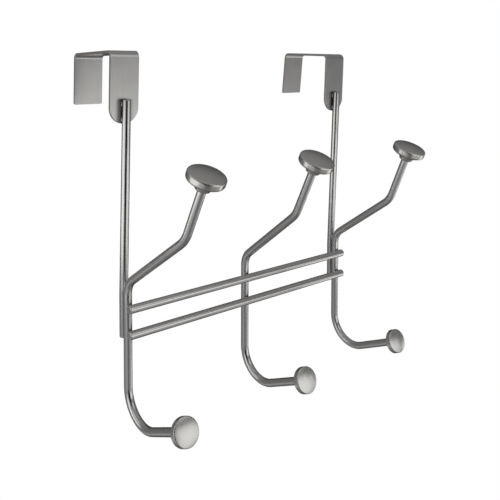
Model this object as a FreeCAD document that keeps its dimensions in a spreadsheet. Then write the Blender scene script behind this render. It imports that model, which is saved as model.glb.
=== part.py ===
import FreeCAD, Part
import Sketcher

import math
import os

from FreeCAD import Placement, Rotation, Vector

# An over-the-door rack of three double hooks, welded from bent wire and bent strap.
# Frame: X runs along the rack, -Y points away from the door into the room, +Z is up.
# The origin lies on the door's top front edge, midway between the two brackets.
# All lengths are millimetres and all angles are degrees.

SIZES = {
    # The wire that the hooks, crossbars and uprights are cut from
    "wire_diameter": 5.6,
    "wire_end_round": 0.6,
    # The steel strap of the two brackets that hook over the door
    "strap_width": 21.0,
    "strap_thickness": 1.8,
    "strap_bend": 2.4,
    "door_gap": 46.0,
    "flange_drop": 45.2,
    "leg_drop": 33.4,
    "leg_corner": 1.2,
    "leg_splay_angle": 4.3,
    "top_fall_angle_left": 4.1,
    "top_fall_angle_right": 0.7,
    # The beads that weld each upright to its bracket
    "bead_radius": 2.7,
    "bead_height": 0.95,
    "bead_round": 0.5,
    "bead_inset": 3.0,
    # The two uprights
    "upright_top": 29.4,
    "upright_run": 128.0,
    "upright_tail": 27.6,
    "upright_bend_radius": 60.0,
    "upright_seat": 0.2,
    # The plane of the hooks leans against the uprights by this angle
    "hook_lean_angle": 2.3,
    "hook_pitch": 100.0,
    "hook_seat": 0.5,
    "lower_bar_below_bend": 23.5,
    # The two crossbars
    "bar_spacing": 17.0,
    "bar_overhang": 2.5,
    "bar_seat": 0.3,
    # The lower arm of each hook, a wide cradle that rises towards its button
    "cradle_radius": 20.8,
    "cradle_angle": 112.6,
    "cradle_drop": 34.8,
    "arm_run": 37.1,
    # The upper arm of each hook, bent by hand and so a little different on each
    "shoulder_radius": 12.5,
    "shoulder_start": 25.6,
    "shoulder_angle_left": 55.6,
    "shoulder_angle_center": 53.0,
    "shoulder_angle_right": 56.0,
    "reach_run": 57.0,
    "stem_angle_left": 24.3,
    "stem_angle_center": 26.2,
    "stem_angle_right": 23.1,
    "arm_twist_angle_left": 6.3,
    "arm_twist_angle_center": 0.0,
    "arm_twist_angle_right": 0.0,
    "stem_run": 38.6,
    # The broad knobs on the upper arms
    "knob_radius": 12.1,
    "knob_dome": 1.1,
    "knob_wall": 4.3,
    "knob_round": 0.6,
    "knob_shoulder_radius": 9.2,
    "knob_shoulder_drop": 1.7,
    "knob_shoulder_round": 1.5,
    "knob_collar_radius": 6.4,
    "knob_neck_radius": 4.7,
    "knob_neck_length": 4.2,
    "knob_socket": 6.6,
    # The smaller buttons on the lower arms
    "button_radius": 8.8,
    "button_dome": 0.9,
    "button_wall": 4.1,
    "button_round": 0.6,
    "button_socket": 2.3,
    "socket_clearance": 0.05,
}

HOOK_SIDES = {"left": -1, "center": 0, "right": 1}
BRACKET_SIDES = {"left": -1, "right": 1}

# Places closer together than this are the same place
SAME_PLACE = 0.01
HALF_TURN = 180


def size(name):
    """A driving dimension, read back from the spreadsheet."""
    return float(sheet.get(name))


def turn(name):
    """A driving angle in radians."""
    return math.radians(size(name))


def make_sheet(document):
    """The spreadsheet of driving dimensions, one alias to each cell."""
    table = document.addObject("Spreadsheet::Sheet", "Sizes")
    for row, (name, value) in enumerate(SIZES.items(), start=1):
        table.set(f"A{row}", name)
        table.set(f"B{row}", str(value))
        table.setAlias(f"B{row}", name)
    document.recompute()
    return table


def make_body(name):
    body = doc.addObject("PartDesign::Body", name)
    body.Label = name
    return body


def origin_plane(body, role):
    return next(item for item in body.Origin.OriginFeatures if item.Role == role)


def make_sketch(body, name, role, offset=None):
    """A sketch on one of the body's own origin planes."""
    sketch = body.newObject("Sketcher::SketchObject", name)
    sketch.AttachmentSupport = [(origin_plane(body, role), "")]
    sketch.MapMode = "FlatFace"
    if offset is not None:
        sketch.AttachmentOffset = offset
    return sketch


def fix(sketch, name, expression, *constraint):
    """Adds a named dimension to a sketch and binds it to the spreadsheet."""
    index = sketch.addConstraint(Sketcher.Constraint(*constraint))
    sketch.renameConstraint(index, name)
    sketch.setExpression(f"Constraints.{name}", expression)


def fix_turn(sketch, name, expression, before, after, angle):
    """Binds the turn from one straight run to the next; a positive angle turns left."""
    runs = (after, 1, before, 2) if angle > 0 else (before, 2, after, 1)
    fix(sketch, name, f"(180 - ({expression})) * 1 deg", "Angle", *runs, math.pi - abs(angle))


def edges_where(feature, test):
    """Names of the feature's edges whose middle passes the test."""
    found = []
    for index, edge in enumerate(feature.Shape.Edges, start=1):
        middle = edge.valueAt((edge.FirstParameter + edge.LastParameter) / 2)
        if test(edge, middle):
            found.append(f"Edge{index}")
    return found


def make_fillet(body, name, base, edges, expression):
    fillet = body.newObject("PartDesign::Fillet", name)
    fillet.Base = (base, edges)
    fillet.setExpression("Radius", expression)
    doc.recompute()
    return fillet


def circle_profile(body, name, role, offset, radius_expression, radius):
    """A round profile centred on its own sketch origin."""
    sketch = make_sketch(body, name, role, offset)
    circle = sketch.addGeometry(Part.Circle(Vector(0, 0, 0), Vector(0, 0, 1), radius))
    sketch.addConstraint(Sketcher.Constraint("Coincident", circle, 3, -1, 1))
    fix(sketch, "radius", radius_expression, "Radius", circle, radius)
    return sketch


def cut_cylinder(body, name, role, offset, radius_expression, length_expression):
    """A round channel cut out of the body, such as the saddle in which another wire lies."""
    channel = body.newObject("PartDesign::SubtractiveCylinder", name)
    channel.AttachmentSupport = [(origin_plane(body, role), "")]
    channel.MapMode = "FlatFace"
    channel.AttachmentOffset = offset
    channel.setExpression("Radius", radius_expression)
    channel.setExpression("Height", length_expression)
    doc.recompute()
    return channel


def wire_spine(sketch, start, heading, steps):
    """Draws the centre line of a bent wire: straight runs and the arcs between them.

    start is a point, heading the first direction in radians, and steps a list of
    ("run", length) and ("bend", radius, angle) in the order that the wire is bent.
    Positive angles turn to the left. Returns the indices of the lines and arcs.
    """
    point = Vector(start)
    pieces = []
    for step in steps:
        ahead = Vector(math.cos(heading), math.sin(heading), 0)
        if step[0] == "run":
            end = point + ahead * step[1]
            pieces.append(("line", sketch.addGeometry(Part.LineSegment(point, end)), 1, 2))
            point = end
            continue
        radius, angle = step[1], step[2]
        side = math.copysign(1, angle)
        centre = point + Vector(-ahead.y, ahead.x, 0) * (side * radius)
        first = heading - side * math.pi / 2
        last = first + angle
        circle = Part.Circle(centre, Vector(0, 0, 1), radius)
        if side > 0:
            arc = Part.ArcOfCircle(circle, first, last)
            pieces.append(("arc", sketch.addGeometry(arc), 1, 2))
        else:
            arc = Part.ArcOfCircle(circle, last, first)
            pieces.append(("arc", sketch.addGeometry(arc), 2, 1))
        point = centre + Vector(math.cos(last), math.sin(last), 0) * radius
        heading += angle
    for before, after in zip(pieces, pieces[1:]):
        sketch.addConstraint(Sketcher.Constraint("Tangent", before[1], before[3], after[1], after[2]))
    return [piece[1] for piece in pieces]


def sweep(body, name, profile, spine):
    pipe = body.newObject("PartDesign::AdditivePipe", name)
    pipe.Profile = profile
    pipe.Spine = (spine, [])
    doc.recompute()
    return pipe


# Places that several pieces share

def upright_axis_depth():
    """How far the uprights' axis lies in front of the door's front face."""
    return size("strap_thickness") + size("wire_diameter") / 2 - size("upright_seat")


def hook_axis_gap():
    """Distance between the axes of an upright's tail and of the hook wire welded to it."""
    return size("wire_diameter") - size("hook_seat")


def bar_axis_gap():
    """Distance between the axes of a crossbar and of the hook wires behind it."""
    return size("wire_diameter") - size("bar_seat")


def hook_frame(x):
    """Placement of a hook's own frame: Z along its straight middle, origin level with the lower bar."""
    lean = turn("hook_lean_angle")
    bend = Vector(x, -upright_axis_depth(), -size("upright_top") - size("upright_run"))
    down = Vector(0, -math.sin(lean), -math.cos(lean))
    front = Vector(0, -math.cos(lean), math.sin(lean))
    origin = bend + down * size("lower_bar_below_bend") + front * hook_axis_gap()
    return Placement(origin, Rotation(Vector(1, 0, 0), -size("hook_lean_angle")))


def bracket(side):
    """One bracket: a strap bent over the door, its front end round, with two weld beads."""
    body = make_body(f"bracket_{side}")
    fall = turn(f"top_fall_angle_{side}")
    splay = turn("leg_splay_angle")
    thick = size("strap_thickness")
    along = Vector(math.cos(fall), -math.sin(fall), 0)
    over = Vector(math.sin(fall), math.cos(fall), 0)
    leg = Vector(math.sin(splay - fall), -math.cos(splay - fall), 0)
    out = Vector(-leg.y, leg.x, 0)
    back = along * size("door_gap")
    front_corner = Vector(-thick, thick * (1 + math.sin(fall)) / math.cos(fall), 0)
    reach = (back + out * thick - front_corner).dot(leg.cross(Vector(0, 0, 1)))
    reach /= along.dot(leg.cross(Vector(0, 0, 1)))
    points = [
        Vector(0, -size("flange_drop"), 0),
        Vector(0, 0, 0),
        back,
        back + leg * size("leg_drop"),
        back + leg * size("leg_drop") + out * thick,
        front_corner + along * reach,
        front_corner,
        Vector(-thick, -size("flange_drop"), 0),
    ]
    side_view = make_sketch(body, f"strap_side_{side}", "YZ_Plane")
    count = len(points)
    for index, point in enumerate(points):
        side_view.addGeometry(Part.LineSegment(point, points[(index + 1) % count]))
    for index in range(count):
        side_view.addConstraint(Sketcher.Constraint("Coincident", index, 2, (index + 1) % count, 1))
    side_view.addConstraint(Sketcher.Constraint("Coincident", 0, 2, -1, 1))
    side_view.addConstraint(Sketcher.Constraint("Vertical", 0))
    side_view.addConstraint(Sketcher.Constraint("Vertical", 6))
    side_view.addConstraint(Sketcher.Constraint("Horizontal", 7))
    side_view.addConstraint(Sketcher.Constraint("Parallel", 1, 5))
    side_view.addConstraint(Sketcher.Constraint("Parallel", 2, 4))
    side_view.addConstraint(Sketcher.Constraint("Perpendicular", 2, 3))
    fix(side_view, "flange_drop", "Sizes.flange_drop", "DistanceY", 0, 1, 0, 2, size("flange_drop"))
    fix(side_view, "door_gap", "Sizes.door_gap", "Distance", 1, size("door_gap"))
    fix(side_view, "leg_drop", "Sizes.leg_drop", "Distance", 2, size("leg_drop"))
    fix(side_view, "front_bend", f"(90 - Sizes.top_fall_angle_{side}) * 1 deg",
        "Angle", 0, 2, 1, 1, math.pi / 2 - fall)
    fix(side_view, "back_bend", "(90 + Sizes.leg_splay_angle) * 1 deg",
        "Angle", 1, 2, 2, 1, math.pi / 2 + splay)
    fix(side_view, "flange_thickness", "Sizes.strap_thickness", "Distance", 7, thick)
    fix(side_view, "leg_thickness", "Sizes.strap_thickness", "Distance", 3, thick)
    fix(side_view, "top_thickness", "Sizes.strap_thickness", "Distance", 5, 2, 1, thick)

    strap = body.newObject("PartDesign::Pad", f"strap_{side}")
    strap.Profile = side_view
    strap.SideType = "Symmetric"
    strap.setExpression("Length", "Sizes.strap_width")
    doc.recompute()

    inner_corners = [points[1], points[2]]
    outer_corners = [points[5], points[6]]
    inner = edges_where(strap, lambda edge, middle: is_bend(middle, inner_corners))
    bent = make_fillet(body, f"inner_bends_{side}", strap, inner, "Sizes.strap_bend")
    outer = edges_where(bent, lambda edge, middle: is_bend(middle, outer_corners))
    bent = make_fillet(body, f"outer_bends_{side}", bent, outer, "Sizes.strap_bend + Sizes.strap_thickness")

    leg_end = (points[3] + points[4]) * 0.5
    corners = edges_where(bent, lambda edge, middle: is_leg_corner(middle, leg_end))
    bent = make_fillet(body, f"leg_corners_{side}", bent, corners, "Sizes.leg_corner")

    trim_flange_end(body, side)
    for end in ("upper", "lower"):
        weld_bead(body, side, end)
    axis_depth = upright_axis_depth()
    seat = Placement(Vector(0, -axis_depth, -size("upright_top") - size("flange_drop")), Rotation())
    channel = cut_cylinder(body, f"upright_seat_{side}", "XY_Plane", seat,
                           "Sizes.wire_diameter / 2", "Sizes.flange_drop")
    channel.setExpression("AttachmentOffset.Base.y",
                          "-(Sizes.strap_thickness + Sizes.wire_diameter / 2 - Sizes.upright_seat)")
    channel.setExpression("AttachmentOffset.Base.z", "-(Sizes.upright_top + Sizes.flange_drop)")
    doc.recompute()
    body.Placement = Placement(Vector(BRACKET_SIDES[side] * size("hook_pitch"), 0, 0), Rotation())
    return body


def is_bend(middle, corners):
    """True for the edge across the strap at one of the given corners of its side view."""
    return any(abs(middle.y - corner.x) + abs(middle.z - corner.y) < SAME_PLACE for corner in corners)


def is_leg_corner(middle, leg_end):
    """True for the two short edges at the square end of the back leg."""
    on_side = abs(abs(middle.x) - size("strap_width") / 2) < SAME_PLACE
    return on_side and abs(middle.y - leg_end.x) + abs(middle.z - leg_end.y) < SAME_PLACE


def trim_flange_end(body, side):
    """Rounds the lower end of the flange to a full half circle across its width."""
    radius = size("strap_width") / 2
    centre = -size("flange_drop") + radius
    below = -size("flange_drop") - radius
    trim = make_sketch(body, f"flange_end_{side}", "XZ_Plane")
    circle = Part.Circle(Vector(0, centre, 0), Vector(0, 0, 1), radius)
    arc = trim.addGeometry(Part.ArcOfCircle(circle, math.pi, 2 * math.pi))
    corners = [Vector(radius, centre, 0), Vector(radius, below, 0),
               Vector(-radius, below, 0), Vector(-radius, centre, 0)]
    lines = [trim.addGeometry(Part.LineSegment(first, last)) for first, last in zip(corners, corners[1:])]
    right, bottom, left = lines
    trim.addConstraint(Sketcher.Constraint("Coincident", arc, 2, right, 1))
    trim.addConstraint(Sketcher.Constraint("Coincident", right, 2, bottom, 1))
    trim.addConstraint(Sketcher.Constraint("Coincident", bottom, 2, left, 1))
    trim.addConstraint(Sketcher.Constraint("Coincident", left, 2, arc, 1))
    trim.addConstraint(Sketcher.Constraint("Vertical", right))
    trim.addConstraint(Sketcher.Constraint("Vertical", left))
    trim.addConstraint(Sketcher.Constraint("Horizontal", bottom))
    trim.addConstraint(Sketcher.Constraint("PointOnObject", arc, 3, -2))
    trim.addConstraint(Sketcher.Constraint("Symmetric", arc, 1, arc, 2, arc, 3))
    trim.addConstraint(Sketcher.Constraint("Horizontal", arc, 1, arc, 2))
    fix(trim, "width", "Sizes.strap_width", "DistanceX", bottom, 2, bottom, 1, 2 * radius)
    fix(trim, "centre_drop", "Sizes.flange_drop - Sizes.strap_width / 2",
        "DistanceY", arc, 3, -1, 1, -centre)
    fix(trim, "depth", "Sizes.strap_width", "DistanceY", bottom, 1, arc, 3, 2 * radius)
    pocket = body.newObject("PartDesign::Pocket", f"flange_trim_{side}")
    pocket.Profile = trim
    pocket.setExpression("Length", "Sizes.strap_thickness")
    pocket.Reversed = True
    doc.recompute()


def bead_drop(end):
    """How far a weld bead lies below the door's top edge."""
    if end == "upper":
        return size("upright_top") + size("bead_inset")
    return size("flange_drop") - size("bead_inset")


def weld_bead(body, side, end):
    """A low round bead on the flange, under the upright that it welds down."""
    offset = Placement(Vector(0, -bead_drop(end), size("strap_thickness")), Rotation())
    ring = circle_profile(body, f"bead_ring_{end}_{side}", "XZ_Plane", offset,
                          "Sizes.bead_radius", size("bead_radius"))
    drop = "Sizes.upright_top + Sizes.bead_inset" if end == "upper" else "Sizes.flange_drop - Sizes.bead_inset"
    ring.setExpression("AttachmentOffset.Base.y", f"-({drop})")
    ring.setExpression("AttachmentOffset.Base.z", "Sizes.strap_thickness")
    bead = body.newObject("PartDesign::Pad", f"bead_{end}_{side}")
    bead.Profile = ring
    bead.setExpression("Length", "Sizes.bead_height")
    doc.recompute()
    face = -size("strap_thickness") - size("bead_height")
    rim = edges_where(bead, lambda edge, middle: abs(middle.y - face) < SAME_PLACE)
    make_fillet(body, f"bead_rim_{end}_{side}", bead, rim, "Sizes.bead_round")


def crossbar(level):
    """One crossbar: a straight wire in front of the three hooks."""
    body = make_body(f"crossbar_{level}")
    half = size("hook_pitch") + size("bar_overhang")
    offset = Placement(Vector(0, 0, -half), Rotation())
    ring = circle_profile(body, f"bar_ring_{level}", "YZ_Plane", offset,
                          "Sizes.wire_diameter / 2", size("wire_diameter") / 2)
    ring.setExpression("AttachmentOffset.Base.z", "-(Sizes.hook_pitch + Sizes.bar_overhang)")
    bar = body.newObject("PartDesign::Pad", f"bar_{level}")
    bar.Profile = ring
    bar.setExpression("Length", "2 * (Sizes.hook_pitch + Sizes.bar_overhang)")
    doc.recompute()
    ends = edges_where(bar, lambda edge, middle: abs(abs(middle.x) - half) < SAME_PLACE)
    make_fillet(body, f"bar_ends_{level}", bar, ends, "Sizes.wire_end_round")
    height = size("bar_spacing") if level == "upper" else 0.0
    centre = hook_frame(0).multVec(Vector(0, -bar_axis_gap(), height))
    body.Placement = Placement(centre, Rotation(Vector(1, 0, 0), -size("hook_lean_angle")))
    return body


def upright(side):
    """One upright: straight down from its bracket, then a tail set along the back of the outer hook."""
    body = make_body(f"upright_{side}")
    lean = turn("hook_lean_angle")
    take_up = size("upright_bend_radius") * math.tan(lean / 2)
    spine = make_sketch(body, f"upright_spine_{side}", "YZ_Plane")
    run, bend, tail = wire_spine(spine, Vector(0, size("upright_run"), 0), -math.pi / 2, [
        ("run", size("upright_run") - take_up),
        ("bend", size("upright_bend_radius"), -lean),
        ("run", size("upright_tail") - take_up),
    ])
    spine.addConstraint(Sketcher.Constraint("PointOnObject", run, 1, -2))
    spine.addConstraint(Sketcher.Constraint("Vertical", run))
    fix(spine, "top", "Sizes.upright_run", "DistanceY", -1, 1, run, 1, size("upright_run"))
    fix(spine, "run", "Sizes.upright_run - Sizes.upright_bend_radius * tan(Sizes.hook_lean_angle * 0.5 deg)",
        "Distance", run, size("upright_run") - take_up)
    fix(spine, "bend", "Sizes.upright_bend_radius", "Radius", bend, size("upright_bend_radius"))
    fix(spine, "tail", "Sizes.upright_tail - Sizes.upright_bend_radius * tan(Sizes.hook_lean_angle * 0.5 deg)",
        "Distance", tail, size("upright_tail") - take_up)
    fix_turn(spine, "lean", "Sizes.hook_lean_angle", run, tail, -lean)
    top = Placement(Vector(0, 0, size("upright_run")), Rotation())
    ring = circle_profile(body, f"upright_ring_{side}", "XY_Plane", top,
                          "Sizes.wire_diameter / 2", size("wire_diameter") / 2)
    ring.setExpression("AttachmentOffset.Base.z", "Sizes.upright_run")
    rod = sweep(body, f"upright_rod_{side}", ring, spine)
    ends = edges_where(rod, lambda edge, middle: edge.Closed and abs(middle.z) > 2 * take_up)
    make_fillet(body, f"upright_ends_{side}", rod, ends, "Sizes.wire_end_round")
    hook_saddle(body, side)
    x = BRACKET_SIDES[side] * size("hook_pitch")
    bend_height = -size("upright_top") - size("upright_run")
    body.Placement = Placement(Vector(x, -upright_axis_depth(), bend_height), Rotation())
    return body


def hook_saddle(body, side):
    """The channel along an upright's tail and bend in which the hook wire lies."""
    seat = hook_frame(0)
    seat.Base.y += upright_axis_depth()
    seat.Base.z += size("upright_top") + size("upright_run")
    foot = size("upright_tail") - size("lower_bar_below_bend") + size("wire_diameter")
    rise = turn(f"shoulder_angle_{side}")
    lean = Placement(Vector(seat.Base.y, seat.Base.z, 0), Rotation(Vector(0, 0, 1), -size("hook_lean_angle")))
    spine = make_sketch(body, f"saddle_spine_{side}", "YZ_Plane", lean.multiply(arm_plane(side)))
    run, bend = wire_spine(spine, Vector(0, -foot, 0), math.pi / 2, [
        ("run", foot + size("shoulder_start")),
        ("bend", size("shoulder_radius"), rise),
    ])
    spine.addConstraint(Sketcher.Constraint("Vertical", run))
    spine.addConstraint(Sketcher.Constraint("PointOnObject", run, 1, -2))
    fix(spine, "start", "Sizes.shoulder_start", "DistanceY", -1, 1, run, 2, size("shoulder_start"))
    fix(spine, "run", "Sizes.upright_tail - Sizes.lower_bar_below_bend + Sizes.wire_diameter"
        " + Sizes.shoulder_start", "Distance", run, foot + size("shoulder_start"))
    fix(spine, "radius", "Sizes.shoulder_radius", "Radius", bend, size("shoulder_radius"))
    fix(spine, "turn", f"Sizes.shoulder_angle_{side} * 1 deg", "Angle", bend, rise)
    level = seat.multiply(Placement(Vector(0, 0, -foot), Rotation()))
    ring = circle_profile(body, f"saddle_ring_{side}", "XY_Plane", level,
                          "Sizes.wire_diameter / 2", size("wire_diameter") / 2)
    channel = body.newObject("PartDesign::SubtractivePipe", f"hook_saddle_{side}")
    channel.Profile = ring
    channel.Spine = (spine, [])
    doc.recompute()


def arm_plane(side):
    """How the plane of a hook's upper arm is turned about the wire's upright middle."""
    return Placement(Vector(), Rotation(Vector(0, 1, 0), size(f"arm_twist_angle_{side}")))


def hook(side):
    """One hook: a single wire from its upright middle down to the button and up to the broad knob."""
    body = make_body(f"hook_{side}")
    ring = circle_profile(body, f"hook_ring_{side}", "XY_Plane", None,
                          "Sizes.wire_diameter / 2", size("wire_diameter") / 2)
    sweep(body, f"lower_arm_{side}", ring, lower_arm_spine(body, side))
    sweep(body, f"upper_arm_{side}", ring, upper_arm_spine(body, side))
    for level in ("lower", "upper"):
        height = size("bar_spacing") if level == "upper" else 0.0
        across = Placement(Vector(-bar_axis_gap(), height, -size("wire_diameter")), Rotation())
        saddle = cut_cylinder(body, f"bar_saddle_{level}_{side}", "YZ_Plane", across,
                              "Sizes.wire_diameter / 2", "2 * Sizes.wire_diameter")
        saddle.setExpression("AttachmentOffset.Base.x", "-(Sizes.wire_diameter - Sizes.bar_seat)")
        saddle.setExpression("AttachmentOffset.Base.z", "-Sizes.wire_diameter")
        if level == "upper":
            saddle.setExpression("AttachmentOffset.Base.y", "Sizes.bar_spacing")
    body.Placement = hook_frame(HOOK_SIDES[side] * size("hook_pitch"))
    return body


def lower_arm_spine(body, side):
    """Centre line from the lower crossbar down, round the cradle and up to the button."""
    spine = make_sketch(body, f"lower_arm_spine_{side}", "YZ_Plane")
    cradle = turn("cradle_angle")
    middle, bowl, arm = wire_spine(spine, Vector(), -math.pi / 2, [
        ("run", size("cradle_drop")),
        ("bend", size("cradle_radius"), -cradle),
        ("run", size("arm_run")),
    ])
    spine.addConstraint(Sketcher.Constraint("Coincident", middle, 1, -1, 1))
    spine.addConstraint(Sketcher.Constraint("Vertical", middle))
    fix(spine, "cradle_drop", "Sizes.cradle_drop", "Distance", middle, size("cradle_drop"))
    fix(spine, "cradle_radius", "Sizes.cradle_radius", "Radius", bowl, size("cradle_radius"))
    fix_turn(spine, "cradle_angle", "Sizes.cradle_angle", middle, arm, -cradle)
    fix(spine, "arm_run", "Sizes.arm_run", "Distance", arm, size("arm_run"))
    return spine


def upper_arm_spine(body, side):
    """Centre line from the lower crossbar up, out over the shoulder and up the stem to the broad knob."""
    spine = make_sketch(body, f"upper_arm_spine_{side}", "YZ_Plane", arm_plane(side))
    spine.setExpression("AttachmentOffset.Rotation.Angle", f"Sizes.arm_twist_angle_{side} * 1 deg")
    rise = turn(f"shoulder_angle_{side}")
    stem = turn(f"stem_angle_{side}")
    middle, elbow, reach, shoulder, neck = wire_spine(spine, Vector(), math.pi / 2, [
        ("run", size("shoulder_start")),
        ("bend", size("shoulder_radius"), rise),
        ("run", size("reach_run")),
        ("bend", size("shoulder_radius"), stem - rise),
        ("run", size("stem_run")),
    ])
    spine.addConstraint(Sketcher.Constraint("Coincident", middle, 1, -1, 1))
    spine.addConstraint(Sketcher.Constraint("Vertical", middle))
    fix(spine, "shoulder_start", "Sizes.shoulder_start", "Distance", middle, size("shoulder_start"))
    fix(spine, "elbow_radius", "Sizes.shoulder_radius", "Radius", elbow, size("shoulder_radius"))
    fix_turn(spine, "elbow_turn", f"Sizes.shoulder_angle_{side}", middle, reach, rise)
    fix(spine, "reach_run", "Sizes.reach_run", "Distance", reach, size("reach_run"))
    fix(spine, "shoulder_radius", "Sizes.shoulder_radius", "Radius", shoulder, size("shoulder_radius"))
    fix_turn(spine, "shoulder_turn", f"Sizes.shoulder_angle_{side} - Sizes.stem_angle_{side}",
             reach, neck, stem - rise)
    fix(spine, "stem_run", "Sizes.stem_run", "Distance", neck, size("stem_run"))
    return spine


def upper_wire_end(side):
    """Placement of the wire's end inside the broad knob, Z along the stem, in the hook's frame."""
    rise = turn(f"shoulder_angle_{side}")
    stem = turn(f"stem_angle_{side}")
    radius = size("shoulder_radius")
    y = -radius * (1 - math.cos(rise)) - size("reach_run") * math.sin(rise)
    z = size("shoulder_start") + radius * math.sin(rise) + size("reach_run") * math.cos(rise)
    y += -radius * (math.cos(stem) - math.cos(rise))
    z += radius * (math.sin(rise) - math.sin(stem))
    y += -size("stem_run") * math.sin(stem)
    z += size("stem_run") * math.cos(stem)
    twist = Placement(Vector(), Rotation(Vector(0, 0, 1), size(f"arm_twist_angle_{side}")))
    end = Placement(Vector(0, y, z), Rotation(Vector(1, 0, 0), size(f"stem_angle_{side}")))
    return twist.multiply(end)


def lower_wire_end():
    """Placement of the wire's end inside the button, Z along the lower arm, in the hook's frame."""
    cradle = turn("cradle_angle")
    radius = size("cradle_radius")
    y = -radius * (1 - math.cos(cradle)) - size("arm_run") * math.sin(cradle)
    z = -size("cradle_drop") - radius * math.sin(cradle) - size("arm_run") * math.cos(cradle)
    return Placement(Vector(0, y, z), Rotation(Vector(1, 0, 0), HALF_TURN - size("cradle_angle")))


def turned_piece(body, name, outline, binding):
    """A solid turned about the Z axis from a closed outline that ends in a shallow dome.

    outline lists (radius, height) points from the middle of the socket's floor round to the
    middle of the domed face, and binding gives each point's two coordinates as expressions.
    """
    sketch = make_sketch(body, f"{name}_outline", "XZ_Plane")
    points = [Vector(radius, height, 0) for radius, height in outline]
    rim, crown = points[-2:]
    rise = crown.y - rim.y
    ball = (rim.x ** 2 + rise ** 2) / (2 * rise)
    centre = Vector(0, crown.y - ball, 0)
    start = math.atan2(rim.y - centre.y, rim.x)
    loop = [sketch.addGeometry(Part.LineSegment(first, last)) for first, last in zip(points, points[1:-1])]
    circle = Part.Circle(centre, Vector(0, 0, 1), ball)
    dome = sketch.addGeometry(Part.ArcOfCircle(circle, start, math.pi / 2))
    loop += [dome, sketch.addGeometry(Part.LineSegment(crown, points[0]))]
    for before, after in zip(loop, loop[1:] + loop[:1]):
        sketch.addConstraint(Sketcher.Constraint("Coincident", before, 2, after, 1))
    sketch.addConstraint(Sketcher.Constraint("PointOnObject", dome, 3, -2))
    for index, (across, up) in enumerate(binding):
        if across == "0":
            sketch.addConstraint(Sketcher.Constraint("PointOnObject", index, 1, -2))
        else:
            fix(sketch, f"radius_{index}", across, "DistanceX", -1, 1, index, 1, points[index].x)
        if up == "0":
            sketch.addConstraint(Sketcher.Constraint("PointOnObject", index, 1, -1))
        elif points[index].y > 0:
            fix(sketch, f"height_{index}", up, "DistanceY", -1, 1, index, 1, points[index].y)
        else:
            fix(sketch, f"height_{index}", f"-({up})", "DistanceY", index, 1, -1, 1, -points[index].y)
    solid = body.newObject("PartDesign::Revolution", f"{name}_turned")
    solid.Profile = sketch
    solid.ReferenceAxis = (sketch, ["V_Axis"])
    doc.recompute()
    return solid


def round_rims(body, name, solid, rims, expression):
    """Rounds the circular edges of a turned solid that lie at the given (radius, height) pairs."""
    def on_rim(edge, middle):
        across = math.hypot(middle.x, middle.y)
        return any(abs(across - radius) + abs(middle.z - height) < SAME_PLACE for radius, height in rims)
    return make_fillet(body, name, solid, edges_where(solid, on_rim), expression)


def knob(side):
    """A broad knob: domed face, straight wall, rounded shoulder, and a conical neck socketed on the wire."""
    body = make_body(f"knob_upper_{side}")
    bore = size("wire_diameter") / 2 + size("socket_clearance")
    neck_end = -size("knob_socket")
    under = neck_end + size("knob_neck_length")
    wall_end = under + size("knob_shoulder_drop")
    rim = wall_end + size("knob_wall")
    outline = [(0, 0), (bore, 0), (bore, neck_end), (size("knob_neck_radius"), neck_end),
               (size("knob_collar_radius"), under), (size("knob_shoulder_radius"), under),
               (size("knob_radius"), wall_end), (size("knob_radius"), rim), (0, rim + size("knob_dome"))]
    bore_text = "Sizes.wire_diameter / 2 + Sizes.socket_clearance"
    under_text = "-Sizes.knob_socket + Sizes.knob_neck_length"
    wall_text = f"{under_text} + Sizes.knob_shoulder_drop"
    rim_text = f"{wall_text} + Sizes.knob_wall"
    binding = [("0", "0"), (bore_text, "0"), (bore_text, "-Sizes.knob_socket"),
               ("Sizes.knob_neck_radius", "-Sizes.knob_socket"),
               ("Sizes.knob_collar_radius", under_text), ("Sizes.knob_shoulder_radius", under_text),
               ("Sizes.knob_radius", wall_text), ("Sizes.knob_radius", rim_text),
               ("0", f"{rim_text} + Sizes.knob_dome")]
    solid = turned_piece(body, f"knob_{side}", outline, binding)
    shoulder = [(size("knob_radius"), wall_end), (size("knob_shoulder_radius"), under)]
    solid = round_rims(body, f"knob_shoulder_{side}", solid, shoulder, "Sizes.knob_shoulder_round")
    rims = [(size("knob_radius"), rim), (size("knob_neck_radius"), neck_end)]
    round_rims(body, f"knob_edges_{side}", solid, rims, "Sizes.knob_round")
    body.Placement = hook_frame(HOOK_SIDES[side] * size("hook_pitch")).multiply(upper_wire_end(side))
    return body


def button(side):
    """A button: domed face, straight wall, and a flat back with the socket for the wire."""
    body = make_body(f"knob_lower_{side}")
    bore = size("wire_diameter") / 2 + size("socket_clearance")
    back = -size("button_socket")
    rim = back + size("button_wall")
    outline = [(0, 0), (bore, 0), (bore, back), (size("button_radius"), back),
               (size("button_radius"), rim), (0, rim + size("button_dome"))]
    bore_text = "Sizes.wire_diameter / 2 + Sizes.socket_clearance"
    rim_text = "-Sizes.button_socket + Sizes.button_wall"
    binding = [("0", "0"), (bore_text, "0"), (bore_text, "-Sizes.button_socket"),
               ("Sizes.button_radius", "-Sizes.button_socket"),
               ("Sizes.button_radius", rim_text), ("0", f"{rim_text} + Sizes.button_dome")]
    solid = turned_piece(body, f"button_{side}", outline, binding)
    rims = [(size("button_radius"), rim), (size("button_radius"), back)]
    round_rims(body, f"button_edges_{side}", solid, rims, "Sizes.button_round")
    body.Placement = hook_frame(HOOK_SIDES[side] * size("hook_pitch")).multiply(lower_wire_end())
    return body


def check(document, bodies):
    """Stops before anything is written if a feature failed or a solid is not whole."""
    for item in document.Objects:
        if "Invalid" in item.State or "Error" in item.State:
            raise RuntimeError(f"{item.Name} failed: {item.State}")
    for body in bodies:
        shape = body.Shape
        if shape.isNull() or not shape.isValid() or len(shape.Solids) != 1:
            raise RuntimeError(f"{body.Label} is not one valid solid")


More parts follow.
